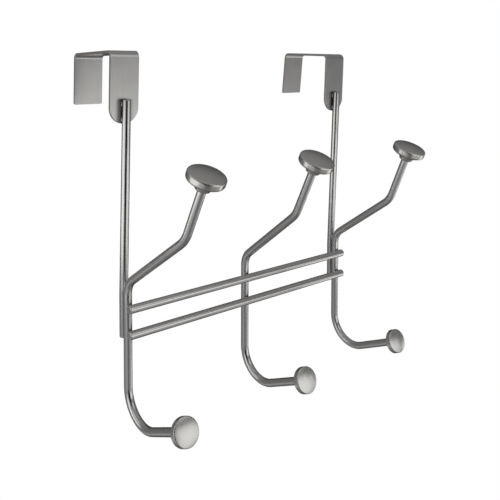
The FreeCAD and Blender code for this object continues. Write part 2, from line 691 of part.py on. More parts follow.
doc = FreeCAD.newDocument("over_door_rack")

sheet = make_sheet(doc)
parts = [bracket(side) for side in BRACKET_SIDES]
parts += [upright(side) for side in BRACKET_SIDES]
parts += [crossbar(level) for level in ("upper", "lower")]
for hook_side in HOOK_SIDES:
    parts += [hook(hook_side), knob(hook_side), button(hook_side)]
doc.recompute()
check(doc, parts)

os.makedirs("parts", exist_ok=True)
for part in parts:
    part.Shape.exportStep(f"parts/{part.Label}.step")
    bounds = part.Shape.BoundBox
    print(part.Label, "volume", round(part.Shape.Volume, 1),
          "y", round(bounds.YMin, 2), round(bounds.YMax, 2),
          "z", round(bounds.ZMin, 2), round(bounds.ZMax, 2))
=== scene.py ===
"""Looks of an over-the-door rack of double hooks, bent from wire and strap and plated in satin nickel."""

import logging
import math
from dataclasses import dataclass, field
from enum import Enum
from typing import Any, Callable, Sequence

import bpy
from mathutils import Matrix, Vector


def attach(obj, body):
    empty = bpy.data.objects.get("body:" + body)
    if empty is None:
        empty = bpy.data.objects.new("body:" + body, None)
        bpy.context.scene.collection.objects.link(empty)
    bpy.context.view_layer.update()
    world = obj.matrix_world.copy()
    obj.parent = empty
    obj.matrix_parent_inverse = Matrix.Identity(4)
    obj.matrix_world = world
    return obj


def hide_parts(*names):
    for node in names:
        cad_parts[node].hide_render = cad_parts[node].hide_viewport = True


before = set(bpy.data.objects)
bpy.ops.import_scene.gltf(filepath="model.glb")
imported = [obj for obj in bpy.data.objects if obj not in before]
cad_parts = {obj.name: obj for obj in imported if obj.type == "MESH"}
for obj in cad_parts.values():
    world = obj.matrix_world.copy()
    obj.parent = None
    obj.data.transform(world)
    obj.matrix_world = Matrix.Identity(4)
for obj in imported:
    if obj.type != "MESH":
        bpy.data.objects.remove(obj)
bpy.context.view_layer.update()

MM = 0.001
TOLERANCE = 0.01 * MM
SMOOTH_DEG = 38.0  # faces that meet at less than this are shaded as one curved face
CUT_END_DEG = 60.0  # edges sharper than this belong to the cut end of a wire or the rim of a bead
WHITE = (1.0, 1.0, 1.0, 1.0)
LOG = logging.getLogger("over_door_rack")


class Side(Enum):
    """Where a hook or a bracket sits along the rack."""

    LEFT = "left"
    CENTER = "center"
    RIGHT = "right"

    @property
    def step(self) -> int:
        """Number of hook pitches from the middle of the rack."""
        return {"left": -1, "center": 0, "right": 1}[self.value]


class Level(Enum):
    """Which of the two crossbars a bar is."""

    UPPER = "upper"
    LOWER = "lower"


class Kind(Enum):
    """What a panel of the studio does."""

    LIGHT = "light"
    CARD = "card"


class Cut(Enum):
    """How a second shape is combined with a piece."""

    ADD = "UNION"
    REMOVE = "DIFFERENCE"


# Camera


@dataclass(frozen=True)
class Photographer:
    """The camera of the photograph, solved from the rack's straight wires and round knobs."""

    position_mm: tuple[float, float, float] = (-326.05, -380.57, 8.07)
    tilt_deg: tuple[float, float, float] = (85.4792, -1.6848, -41.1837)
    image_px: float = 500.0
    focal_px: float = 680.0
    horizon_px: float = 98.0
    sensor_mm: float = 36.0
    clip_m: tuple[float, float] = (0.01, 50.0)

    def place(self) -> None:
        """Adds the camera and makes it the scene's own."""
        data = bpy.data.cameras.new("photo_camera")
        data.sensor_width = self.sensor_mm
        data.lens = self.focal_px / self.image_px * self.sensor_mm
        data.shift_y = (self.horizon_px - self.image_px / 2) / self.image_px
        data.clip_start, data.clip_end = self.clip_m
        camera = bpy.data.objects.new("photo_camera", data)
        camera.location = Vector(self.position_mm) * MM
        camera.rotation_euler = [math.radians(angle) for angle in self.tilt_deg]
        bpy.context.scene.collection.objects.link(camera)
        bpy.context.scene.camera = camera


# Shader maths


class Socket:
    """A node's output that can be used in Python sums."""

    def __init__(self, tree: "NodeTree", output: bpy.types.NodeSocket) -> None:
        """Keeps the tree that the output belongs to."""
        self.tree = tree
        self.output = output

    def _math(self, operation: str, first: Any, second: Any) -> "Socket":
        """Adds one Math node."""
        return self.tree.node("ShaderNodeMath", {"operation": operation}, {0: first, 1: second})

    def __add__(self, other: Any) -> "Socket":
        """Sum of two values."""
        return self._math("ADD", self, other)

    __radd__ = __add__

    def __sub__(self, other: Any) -> "Socket":
        """Difference of two values."""
        return self._math("SUBTRACT", self, other)

    def __rsub__(self, other: Any) -> "Socket":
        """Difference, with this value taken away."""
        return self._math("SUBTRACT", other, self)

    def __mul__(self, other: Any) -> "Socket":
        """Product of two values."""
        return self._math("MULTIPLY", self, other)

    __rmul__ = __mul__

    def clamp(self, low: float = 0.0, high: float = 1.0) -> "Socket":
        """This value, held between two limits."""
        return self._math("MINIMUM", self._math("MAXIMUM", self, low), high)

    def vector(self, operation: str, other: Any = None, scale: Any = 1.0, output: str = "Vector") -> "Socket":
        """Adds one Vector Math node.

        Args:
            operation: The node's operation.
            other: Second vector, where the operation has one.
            scale: Factor of a SCALE operation.
            output: Which output is wanted, Vector or Value.

        Returns:
            The result.
        """
        inputs = {0: self, "Scale": scale} if operation == "SCALE" else {0: self}
        if other is not None:
            inputs[1] = other
        return self.tree.node("ShaderNodeVectorMath", {"operation": operation}, inputs, output)


class NodeTree:
    """A node tree, filled through one generic method."""

    def __init__(self, owner: Any) -> None:
        """Clears the node tree of a material or a world."""
        owner.use_nodes = True
        self.tree = owner.node_tree
        self.tree.nodes.clear()

    def node(self, kind: str, settings: dict[str, Any] | None = None,
             inputs: dict[Any, Any] | None = None, output: Any = 0) -> Socket | None:
        """Adds a node.

        Args:
            kind: The node's type.
            settings: Properties of the node, set first; stops is a ramp's list of (place, value).
            inputs: Values or Sockets by the input's name or number.
            output: Name or number of the output that is wanted.

        Returns:
            The wanted output, or None for a node without outputs.
        """
        made = self.tree.nodes.new(kind)
        for name, value in (settings or {}).items():
            if name == "stops":
                self._set_stops(made, value)
            else:
                setattr(made, name, value)
        for name, value in (inputs or {}).items():
            if isinstance(value, Socket):
                self.tree.links.new(value.output, made.inputs[name])
            else:
                made.inputs[name].default_value = value
        return Socket(self, made.outputs[output]) if len(made.outputs) else None

    def mix(self, share: Any, first: Any, second: Any) -> Socket:
        """A colour that goes from the first to the second as the share goes from 0 to 1."""
        return self.node("ShaderNodeMix", {"data_type": "RGBA"}, {0: share, 6: first, 7: second}, output=2)

    @staticmethod
    def _set_stops(ramp: bpy.types.Node, stops: Sequence[tuple[float, float]]) -> None:
        """Writes grey stops to a ramp."""
        elements = ramp.color_ramp.elements
        while len(elements) < len(stops):
            elements.new(0.5)
        for element, (place, value) in zip(elements, stops):
            element.position = place
            element.color = (value, value, value, 1.0)


# Finishes


@dataclass(frozen=True)
class Rod:
    """The axis of a straight wire that touches other pieces, in metres."""

    start: Vector
    end: Vector
    radius: float
    end_falloff: float = 6.0

    def gap(self, place: Socket) -> Socket:
        """Distance from a place to the wire's surface, which grows faster past its start."""
        length = (self.end - self.start).length
        ahead = (self.end - self.start).normalized()
        offset = place.vector("SUBTRACT", self.start)
        reach = offset.vector("DOT_PRODUCT", ahead, output="Value")
        along = reach.clamp(0.0, length)
        ahead_socket = place.tree.node("ShaderNodeCombineXYZ", {}, {0: ahead.x, 1: ahead.y, 2: ahead.z})
        across = offset.vector("SUBTRACT", ahead_socket.vector("SCALE", scale=along))
        past_start = (along - reach).clamp()
        return across.vector("LENGTH", output="Value") - self.radius + self.end_falloff * past_start


@dataclass(frozen=True)
class SatinNickel:
    """Satin nickel plate, with the drawing or turning marks of the metal below it.

    The marks follow the attribute blank, the place that each point had on the straight,
    unbent piece in millimetres, so that they run along a bent wire as on the real one.
    Beside a welded wire the colour is darkened by painted shade, standing for the shadow that falls where wires touch
    and, on the strap, also for a painted shadow and reflection of the upright on the flange; it fades out over a set
    reach from the wire and lies only between two given distances in front of the door.
    """

    name: str
    color: tuple[float, float, float]
    dark_color: tuple[float, float, float]
    roughness: float
    roughness_spread: float
    mark_scale: tuple[float, float, float]
    mark_depth: float
    grain_depth: float
    cloud_size_mm: float = 11.0
    grain_size_mm: float = 0.35
    mark_detail: float = 3.0
    grain_detail: float = 2.0
    tone_span: tuple[float, float] = (0.35, 0.65)
    roughness_limits: tuple[float, float] = (0.05, 0.9)
    relief_mm: float = 0.01
    # painted shade beside touching wires, in place of their contact shadow: its colour, reach from the wire,
    # strength, span in front of the door and how sharp that span's edges are
    painted_shade_color: tuple[float, float, float] = (0.04, 0.038, 0.036)
    painted_shade_reach_mm: float = 1.5
    painted_shade_depth: float = 0.8
    painted_shade_span_mm: tuple[float, float] = (0.0, 100.0)
    painted_shade_edge_per_mm: float = 4.0

    def material(self, owner: str, neighbours: Sequence[Rod] = ()) -> bpy.types.Material:
        """Builds the procedural material.

        Args:
            owner: Name of the kind of piece that wears it.
            neighbours: Wires that touch these pieces, beside which shade is painted into the colour.

        Returns:
            The material.
        """
        material = bpy.data.materials.new(f"{self.name}_{owner}")
        tree = NodeTree(material)
        blank = tree.node("ShaderNodeAttribute", {"attribute_name": "blank"}, output="Vector")
        place = tree.node("ShaderNodeTexCoord", {}, output="Object")
        stretched = tree.node("ShaderNodeMapping", {}, {"Vector": blank, "Scale": self.mark_scale})
        marks = self._noise(stretched, 1.0, self.mark_detail)
        clouds = self._noise(blank, self.cloud_size_mm, self.mark_detail)
        grain = self._noise(place, self.grain_size_mm * MM, self.grain_detail)
        spread = tree.node("ShaderNodeValToRGB", {"stops": list(zip(self.tone_span, (0.0, 1.0)))},
                           {"Fac": (0.5 * marks + 0.5 * clouds).clamp()})
        color = tree.mix(spread, (*self.dark_color, 1.0), (*self.color, 1.0))
        # painted shade: the colour darkens beside each touching wire, where its shadow falls
        for rod in neighbours:
            color = tree.mix(self._painted_shade(place, rod), color, (*self.painted_shade_color, 1.0))
        roughness = (self.roughness + self.roughness_spread * (marks - 0.5)
                     + self.roughness_spread * (clouds - 0.5)).clamp(*self.roughness_limits)
        relief = self.mark_depth * marks + self.grain_depth * grain
        bump = tree.node("ShaderNodeBump", {}, {"Height": relief, "Strength": 1.0,
                                                "Distance": self.relief_mm * MM}, output="Normal")
        shader = tree.node("ShaderNodeBsdfPrincipled", {}, {
            "Base Color": color, "Roughness": roughness, "Metallic": 1.0, "Normal": bump})
        tree.node("ShaderNodeOutputMaterial", {}, {"Surface": shader})
        return material

    @staticmethod
    def _noise(place: Socket, size: float, detail: float) -> Socket:
        """Noise whose spots have about the given size, in the units of the place."""
        return place.tree.node("ShaderNodeTexNoise", {}, {"Vector": place, "Scale": 1.0 / size, "Detail": detail})

    def _painted_shade(self, place: Socket, rod: Rod) -> Socket:
        """Share of painted shade beside a welded wire, in place of the shadow where the wires touch."""
        # painted shade fades with distance from the wire and is kept to a span in front of the door
        depth = place.tree.node("ShaderNodeSeparateXYZ", {}, {0: place}, output="Y") * (-1.0 / MM)
        low, high = self.painted_shade_span_mm
        within = ((self.painted_shade_edge_per_mm * (depth - low)).clamp()
                  * (self.painted_shade_edge_per_mm * (high - depth)).clamp())
        near = (1.0 - rod.gap(place) * (1.0 / (self.painted_shade_reach_mm * MM))).clamp()
        return near * within * self.painted_shade_depth


WIRE_FINISH = SatinNickel(
    name="satin_nickel_wire", color=(0.66, 0.648, 0.63), dark_color=(0.61, 0.598, 0.58),
    roughness=0.22, roughness_spread=0.07, mark_scale=(1.3, 1.3, 0.03), mark_depth=0.12, grain_depth=0.01)
# the strap's wide painted shade, at the flange's front face beside the upright, is a painted shadow and painted
# reflection of the upright on the flange
STRAP_FINISH = SatinNickel(
    name="satin_nickel_strap", color=(0.615, 0.598, 0.580), dark_color=(0.565, 0.549, 0.532),
    roughness=0.31, roughness_spread=0.07, mark_scale=(1.4, 1.4, 0.03), mark_depth=0.22, grain_depth=0.015,
    painted_shade_reach_mm=4.6, painted_shade_depth=0.9, painted_shade_span_mm=(1.3, 2.25))
KNOB_FINISH = SatinNickel(
    name="satin_nickel_knob", color=(0.66, 0.65, 0.625), dark_color=(0.61, 0.60, 0.575),
    roughness=0.25, roughness_spread=0.06, mark_scale=(1.6, 0.5, 0.5), mark_depth=0.14, grain_depth=0.01)


# Workbench


class Bench:
    """Modelling steps on a mesh in edit mode, as done by hand."""

    @staticmethod
    def clear() -> None:
        """Leaves edit mode and deselects everything."""
        if bpy.context.object and bpy.context.object.mode != "OBJECT":
            bpy.ops.object.mode_set(mode="OBJECT")
        bpy.ops.object.select_all(action="DESELECT")

    @staticmethod
    def ring(name: str, radius: float, sides: int, place: Matrix) -> bpy.types.Object:
        """Adds an open ring of edges and opens it for editing.

        Args:
            name: Name of the new piece.
            radius: Radius of the ring in metres.
            sides: Number of edges.
            place: Where the ring lies; its local Z is the ring's axis.

        Returns:
            The new object, in edit mode with the ring selected.
        """
        Bench.clear()
        bpy.ops.mesh.primitive_circle_add(vertices=sides, radius=radius, fill_type="NOTHING")
        ring = bpy.context.object
        ring.name = name
        ring.data.name = name
        ring.matrix_world = place
        bpy.ops.object.transform_apply(location=True, rotation=True, scale=True)
        bpy.ops.object.mode_set(mode="EDIT")
        bpy.ops.mesh.select_all(action="SELECT")
        return ring

    @staticmethod
    def fill() -> None:
        """Closes the selected ring with a face and leaves it selected."""
        bpy.ops.mesh.edge_face_add()
        bpy.ops.mesh.select_all(action="SELECT")

    @staticmethod
    def extrude(move: Vector) -> None:
        """Extrudes the selection along a vector."""
        bpy.ops.mesh.extrude_region_move(TRANSFORM_OT_translate={"value": tuple(move)})

    @staticmethod
    def spin(angle: float, centre: Vector, axis: Vector, steps: int) -> None:
        """Extrudes the selection round an axis by the right-hand rule."""
        bpy.ops.mesh.spin(steps=steps, angle=-angle, center=tuple(centre), axis=tuple(axis))

    @staticmethod
    def select_open() -> None:
        """Selects only the edges of the openings."""
        bpy.ops.mesh.select_all(action="DESELECT")
        bpy.ops.mesh.select_non_manifold(extend=False)

    @staticmethod
    def cap_ends() -> None:
        """Closes the open ends of a tube."""
        Bench.select_open()
        bpy.ops.mesh.edge_face_add()

    @staticmethod
    def select_faces(piece: bpy.types.Object, test: Callable[[Vector], bool]) -> None:
        """Selects the faces whose middle passes a test."""
        Bench._select(piece, piece.data.polygons, "FACE", lambda face: test(face.center))

    @staticmethod
    def select_edges(piece: bpy.types.Object, test: Callable[[Vector, Vector], bool]) -> None:
        """Selects the edges whose two ends pass a test."""
        def passes(edge: bpy.types.MeshEdge) -> bool:
            """Whether an edge's two ends pass the test."""
            return test(*(piece.data.vertices[index].co for index in edge.vertices))
        Bench._select(piece, piece.data.edges, "EDGE", passes)

    @staticmethod
    def _select(piece: bpy.types.Object, items: Any, mode: str, test: Callable[[Any], bool]) -> None:
        """Selects mesh elements in the given selection mode."""
        bpy.ops.mesh.select_mode(type=mode)
        bpy.ops.mesh.select_all(action="DESELECT")
        bpy.ops.object.mode_set(mode="OBJECT")
        for item in items:
            item.select = test(item)
        bpy.ops.object.mode_set(mode="EDIT")

    @staticmethod
    def set_bevel_weight(weight: float) -> None:
        """Sets how much of the full width the selected edges' rounding has."""
        bpy.ops.transform.edge_bevelweight(value=-1.0)
        bpy.ops.transform.edge_bevelweight(value=weight)

    @staticmethod
    def bevel(piece: bpy.types.Object, width: float, segments: int, limit_deg: float | None = None) -> None:
        """Rounds edges of a piece.

        Args:
            piece: The piece, which is left in object mode.
            width: Distance of the rounding's edges from the sharp one, in metres.
            segments: Faces across the rounding.
            limit_deg: Edges sharper than this are rounded; without it, those with a bevel weight.
        """
        bpy.ops.object.mode_set(mode="OBJECT")
        bevel = piece.modifiers.new("rounding", "BEVEL")
        bevel.width = width
        bevel.segments = segments
        bevel.limit_method = "WEIGHT" if limit_deg is None else "ANGLE"
        bevel.angle_limit = math.radians(limit_deg or 0.0)
        bpy.ops.object.modifier_apply(modifier="rounding")

    @staticmethod
    def combine(piece: bpy.types.Object, other: bpy.types.Object, how: Cut) -> None:
        """Joins a second shape to a piece, or cuts it out of the piece, and uses it up."""
        Bench.clear()
        bpy.context.view_layer.objects.active = piece
        piece.select_set(True)
        cut = piece.modifiers.new("cut", "BOOLEAN")
        cut.operation = how.value
        cut.solver = "EXACT"
        cut.object = other
        bpy.ops.object.modifier_apply(modifier="cut")
        bpy.data.objects.remove(other)

    @staticmethod
    def finish(piece: bpy.types.Object) -> None:
        """Turns the faces outwards and shades the piece smooth, except over its sharp edges."""
        bpy.ops.object.mode_set(mode="EDIT")
        bpy.ops.mesh.select_all(action="SELECT")
        bpy.ops.mesh.normals_make_consistent(inside=False)
        bpy.ops.object.mode_set(mode="OBJECT")
        bpy.ops.object.shade_smooth_by_angle(angle=math.radians(SMOOTH_DEG))
        normals = piece.modifiers.new("normals", "WEIGHTED_NORMAL")
        normals.keep_sharp = True
        bpy.ops.object.modifier_apply(modifier="normals")


def record_blank(piece: bpy.types.Object, unbend: Callable[[Vector], Vector]) -> None:
    """Stores where each point lay on the straight, unbent piece, in millimetres.

    Args:
        piece: The finished piece.
        unbend: Gives a point's place on the blank, in metres, from its place on the piece.
    """
    attribute = piece.data.attributes.new("blank", "FLOAT_VECTOR", "POINT")
    for vertex, item in zip(piece.data.vertices, attribute.data):
        item.vector = unbend(vertex.co) / MM


def dress(piece: bpy.types.Object, material: bpy.types.Material, node: str) -> None:
    """Gives a piece its finish and hands it to the frame in place of a CAD node."""
    piece.data.materials.clear()
    piece.data.materials.append(material)
    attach(piece, "root")
    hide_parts(node)
    LOG.info("%s stands for %s with %d faces", piece.name, node, len(piece.data.polygons))


# Bent wire and strap


@dataclass(frozen=True)
class Run:
    """A straight stretch of wire or strap."""

    length: float


@dataclass(frozen=True)
class Bend:
    """A bend; a positive angle turns by the right-hand rule about the bending axis."""

    radius: float
    angle: float
    steps: int = 12

    @property
    def length(self) -> float:
        """Length of the bend's centre line."""
        return self.radius * abs(self.angle)


@dataclass(frozen=True)
class Twist:
    """A turn of the bending axis about the wire, which itself stays straight."""

    angle: float


@dataclass(frozen=True)
class Stretch:
    """A run or a bend at its place in a path.

    The basis holds two directions across the piece and the one ahead, at the stretch's start.
    """

    step: Run | Bend
    point: Vector
    basis: Matrix
    axis: Vector
    done: float

    @property
    def centre(self) -> Vector:
        """Centre of the bend."""
        side = self.axis.cross(self.basis.col[2]) * math.copysign(1.0, self.step.angle)
        return self.point + side * self.step.radius

    def at(self, share: float) -> tuple[Vector, Matrix]:
        """Point and basis after a share of the stretch."""
        if isinstance(self.step, Run):
            return self.point + self.basis.col[2] * (self.step.length * share), self.basis
        turned = Matrix.Rotation(self.step.angle * share, 3, self.axis)
        return self.centre + turned @ (self.point - self.centre), turned @ self.basis

    def nearest(self, place: Vector) -> float:
        """Share of the stretch after which it passes closest to a place."""
        if isinstance(self.step, Run):
            share = (place - self.point).dot(self.basis.col[2]) / self.step.length
        else:
            arm, spoke = self.point - self.centre, place - self.centre
            share = math.atan2(self.axis.dot(arm.cross(spoke)), arm.dot(spoke)) / self.step.angle
        return min(1.0, max(0.0, share))

    def draw(self) -> None:
        """Extrudes or spins the selected outline along the stretch."""
        if isinstance(self.step, Run):
            Bench.extrude(self.basis.col[2] * self.step.length)
        else:
            Bench.spin(self.step.angle, self.centre, self.axis, self.step.steps)


@dataclass
class BentPath:
    """The centre line of a bent wire or strap, in metres, whose bending axis starts out along X."""

    start: Vector
    heading: Vector
    steps: Sequence[Run | Bend | Twist]
    stretches: list[Stretch] = field(default_factory=list)

    def __post_init__(self) -> None:
        """Lays the stretches end to end."""
        axis, ahead = Vector((1, 0, 0)), self.heading.normalized()
        point, basis, done = self.start.copy(), Matrix((axis, ahead.cross(axis), ahead)).transposed(), 0.0
        self.start_place = Matrix.Translation(point) @ basis.to_4x4()
        for step in self.steps:
            if isinstance(step, Twist):
                axis = Matrix.Rotation(step.angle, 3, basis.col[2]) @ axis
                continue
            self.stretches.append(Stretch(step, point, basis, axis, done))
            point, basis = self.stretches[-1].at(1.0)
            done += step.length
        self.end_place = Matrix.Translation(point) @ basis.to_4x4()

    def sweep(self) -> None:
        """Draws the selected outline along the path."""
        for stretch in self.stretches:
            stretch.draw()

    def unbend(self, place: Vector) -> Vector:
        """Where a point of the bent piece lay on the straight blank, whose length runs along Z."""
        best, found = math.inf, Vector()
        for stretch in self.stretches:
            share = stretch.nearest(place)
            foot, basis = stretch.at(share)
            offset = place - foot
            if offset.length < best:
                best = offset.length
                found = basis.transposed() @ offset
                found.z += stretch.done + stretch.step.length * share
        return found


# The rack


@dataclass(frozen=True)
class Sizes:
    """Sizes that several pieces of the rack share, in millimetres and degrees."""

    wire_radius: float = 2.8
    wire_end_round: float = 0.6
    wire_end_steps: int = 4
    strap_thickness: float = 1.8
    upright_seat: float = 0.2
    upright_top: float = 29.4
    upright_run: float = 128.0
    hook_lean: float = 2.3
    hook_pitch: float = 100.0
    hook_seat: float = 0.5
    lower_bar_below_bend: float = 23.5
    bar_spacing: float = 17.0
    bar_seat: float = 0.3
    socket_clearance: float = 0.05
    hook_middle_below: float = 34.8
    hook_middle_above: float = 25.6

    @property
    def upright_depth(self) -> float:
        """Distance of the uprights' axis in front of the door."""
        return self.strap_thickness + self.wire_radius - self.upright_seat

    @property
    def bore(self) -> float:
        """Radius of the sockets of knobs and buttons."""
        return self.wire_radius + self.socket_clearance

    def hook_place(self, side: Side) -> Matrix:
        """Placement of a hook's own frame, level with the lower crossbar, in metres."""
        lean = math.radians(self.hook_lean)
        down = Vector((0, -math.sin(lean), -math.cos(lean)))
        front = Vector((0, -math.cos(lean), math.sin(lean)))
        bend = Vector((side.step * self.hook_pitch, -self.upright_depth, -self.upright_top - self.upright_run))
        origin = bend + down * self.lower_bar_below_bend + front * (2 * self.wire_radius - self.hook_seat)
        return Matrix.Translation(origin * MM) @ Matrix.Rotation(-lean, 4, "X")

    def hook_rods(self) -> list[Rod]:
        """The straight middles of the three hooks."""
        ends = Vector((0, 0, -self.hook_middle_below)) * MM, Vector((0, 0, self.hook_middle_above)) * MM
        return [self._rod(self.hook_place(side) @ ends[0], self.hook_place(side) @ ends[1]) for side in Side]

    def bar_rods(self) -> list[Rod]:
        """The two crossbars."""
        half = Vector((self.hook_pitch * MM, 0, 0))
        place = self.hook_place(Side.CENTER)
        gap = 2 * self.wire_radius - self.bar_seat
        middles = [place @ (Vector((0, -gap, height)) * MM) for height in (0.0, self.bar_spacing)]
        return [self._rod(middle - half, middle + half) for middle in middles]

    def upright_rods(self) -> list[Rod]:
        """The straight upper parts of the two uprights."""
        tops = [Vector((x, -self.upright_depth, -self.upright_top)) * MM for x in (-self.hook_pitch, self.hook_pitch)]
        return [self._rod(top, top - Vector((0, 0, self.upright_run * MM))) for top in tops]

    def _rod(self, start: Vector, end: Vector) -> Rod:
        """A rod of the rack's wire."""
        return Rod(start, end, self.wire_radius * MM)


SIZES = Sizes()


@dataclass
class Bracket:
    """A strap bent over the door, its front end round, with two weld beads under the upright."""

    side: Side
    top_fall: float
    width: float = 21.0
    bend: float = 2.4
    gap: float = 46.0
    flange_drop: float = 45.2
    leg_drop: float = 33.4
    leg_corner: float = 1.2
    leg_splay: float = 4.3
    edge_round: float = 0.22
    bead_radius: float = 2.7
    bead_height: float = 0.95
    bead_round: float = 0.5
    bead_inset: float = 3.0
    sides: int = 96
    bend_steps: int = 14
    corner_steps: int = 8
    edge_steps: int = 3
    edge_angle: float = 50.0
    bead_sides: int = 48
    bead_steps: int = 4

    def path(self) -> BentPath:
        """Middle line of the strap, from the round end's centre up, over the door and down its back."""
        front = math.radians(90 + self.top_fall)
        rear = math.radians(90 - self.leg_splay)
        front_take, rear_take = self.bend * math.tan(front / 2), self.bend * math.tan(rear / 2)
        middle = (self.bend + SIZES.strap_thickness / 2) * MM
        start = Vector((self.side.step * SIZES.hook_pitch, -SIZES.strap_thickness / 2,
                        self.width / 2 - self.flange_drop)) * MM
        return BentPath(start, Vector((0, 0, 1)), [
            Run((self.flange_drop - self.width / 2 - front_take) * MM),
            Bend(middle, -front, self.bend_steps),
            Run((self.gap - front_take - rear_take) * MM),
            Bend(middle, -rear, self.bend_steps),
            Run((self.leg_drop - rear_take) * MM),
        ])

    def build(self) -> bpy.types.Object:
        """Models the bracket.

        Returns:
            The finished mesh.
        """
        path = self.path()
        piece = self._strap(path)
        for drop in (SIZES.upright_top + self.bead_inset, self.flange_drop - self.bead_inset):
            Bench.combine(piece, self._bead(drop), Cut.ADD)
        Bench.combine(piece, self._channel(), Cut.REMOVE)
        Bench.finish(piece)
        record_blank(piece, path.unbend)
        return piece

    def _strap(self, path: BentPath) -> bpy.types.Object:
        """Bends the strap from its round end, with its edges a little rounded."""
        thick = Vector((0, SIZES.strap_thickness * MM, 0))
        start = path.start
        place = Matrix.Translation(start - thick / 2) @ Matrix.Rotation(math.radians(90), 4, "X")
        piece = Bench.ring(f"bracket_strap_{self.side.value}", self.width / 2 * MM, self.sides, place)
        Bench.fill()
        bpy.ops.mesh.bisect(plane_co=tuple(start), plane_no=(0, 0, 1), clear_outer=True)
        bpy.ops.mesh.select_all(action="SELECT")
        Bench.extrude(thick)
        Bench.select_faces(piece, lambda centre: centre.z > start.z - TOLERANCE)
        bpy.ops.mesh.delete(type="ONLY_FACE")
        bpy.ops.mesh.select_mode(type="EDGE")
        Bench.select_open()
        path.sweep()
        Bench.cap_ends()
        end = path.end_place.translation
        ahead = path.end_place.to_3x3().col[2]
        Bench.select_edges(piece, lambda first, last: (
            abs((first - end).dot(ahead)) + abs((last - end).dot(ahead)) < TOLERANCE
            and abs(first.x - last.x) < TOLERANCE))
        bpy.ops.mesh.bevel(offset=self.leg_corner * MM, segments=self.corner_steps, affect="EDGES")
        Bench.bevel(piece, self.edge_round * MM, self.edge_steps, self.edge_angle)
        return piece

    def _bead(self, drop: float) -> bpy.types.Object:
        """Models a weld bead that stands out of the flange's front."""
        root = Vector((self.side.step * SIZES.hook_pitch, -SIZES.strap_thickness / 2, -drop)) * MM
        place = Matrix.Translation(root) @ Matrix.Rotation(math.radians(90), 4, "X")
        bead = Bench.ring("bead", self.bead_radius * MM, self.bead_sides, place)
        Bench.extrude(Vector((0, -(SIZES.strap_thickness / 2 + self.bead_height) * MM, 0)))
        Bench.cap_ends()
        Bench.bevel(bead, self.bead_round * MM, self.bead_steps, CUT_END_DEG)
        Bench.finish(bead)
        return bead

    def _channel(self) -> bpy.types.Object:
        """Models the shape of the upright, which leaves its shallow bed in flange and beads."""
        top = Vector((self.side.step * SIZES.hook_pitch, -SIZES.upright_depth, -SIZES.upright_top)) * MM
        channel = Bench.ring("channel", SIZES.wire_radius * MM, self.sides, Matrix.Translation(top))
        Bench.extrude(Vector((0, 0, -self.flange_drop * MM)))
        Bench.cap_ends()
        Bench.finish(channel)
        return channel

    def dress(self, material: bpy.types.Material) -> None:
        """Builds the bracket and gives it its finish."""
        dress(self.build(), material, f"bracket_{self.side.value}")


@dataclass
class Upright:
    """A straight wire from a bracket down to the outer hook, with its tail leaning along the hook."""

    side: Side
    tail: float = 27.6
    bend: float = 60.0
    bend_steps: int = 4
    sides: int = 64

    def build(self) -> bpy.types.Object:
        """Models the wire.

        Returns:
            The finished mesh.
        """
        lean = math.radians(SIZES.hook_lean)
        take_up = self.bend * math.tan(lean / 2)
        top = Vector((self.side.step * SIZES.hook_pitch, -SIZES.upright_depth, -SIZES.upright_top)) * MM
        path = BentPath(top, Vector((0, 0, -1)), [
            Run((SIZES.upright_run - take_up) * MM),
            Bend(self.bend * MM, -lean, self.bend_steps),
            Run((self.tail - take_up) * MM),
        ])
        piece = Bench.ring(f"upright_wire_{self.side.value}", SIZES.wire_radius * MM, self.sides,
                           path.start_place)
        path.sweep()
        Bench.cap_ends()
        Bench.bevel(piece, SIZES.wire_end_round * MM, SIZES.wire_end_steps, CUT_END_DEG)
        Bench.finish(piece)
        record_blank(piece, path.unbend)
        return piece

    def dress(self, material: bpy.types.Material) -> None:
        """Builds the wire and gives it its finish."""
        dress(self.build(), material, f"upright_{self.side.value}")


@dataclass
class Crossbar:
    """A straight wire across the front of the hooks, its cut ends rounded."""

    level: Level
    overhang: float = 2.5
    sides: int = 64

    def build(self) -> bpy.types.Object:
        """Models the bar.

        Returns:
            The finished mesh.
        """
        height = SIZES.bar_spacing if self.level is Level.UPPER else 0.0
        gap = 2 * SIZES.wire_radius - SIZES.bar_seat
        length = 2 * (SIZES.hook_pitch + self.overhang) * MM
        start = SIZES.hook_place(Side.CENTER) @ (Vector((0, -gap, height)) * MM) - Vector((length / 2, 0, 0))
        place = Matrix.Translation(start) @ Matrix.Rotation(math.radians(90), 4, "Y")
        piece = Bench.ring(f"crossbar_wire_{self.level.value}", SIZES.wire_radius * MM, self.sides, place)
        Bench.extrude(Vector((length, 0, 0)))
        Bench.cap_ends()
        Bench.bevel(piece, SIZES.wire_end_round * MM, SIZES.wire_end_steps, CUT_END_DEG)
        Bench.finish(piece)
        record_blank(piece, lambda point: Vector((point.y - start.y, point.z - start.z, point.x - start.x)))
        return piece

    def dress(self, material: bpy.types.Material) -> None:
        """Builds the bar and gives it its finish."""
        dress(self.build(), material, f"crossbar_{self.level.value}")


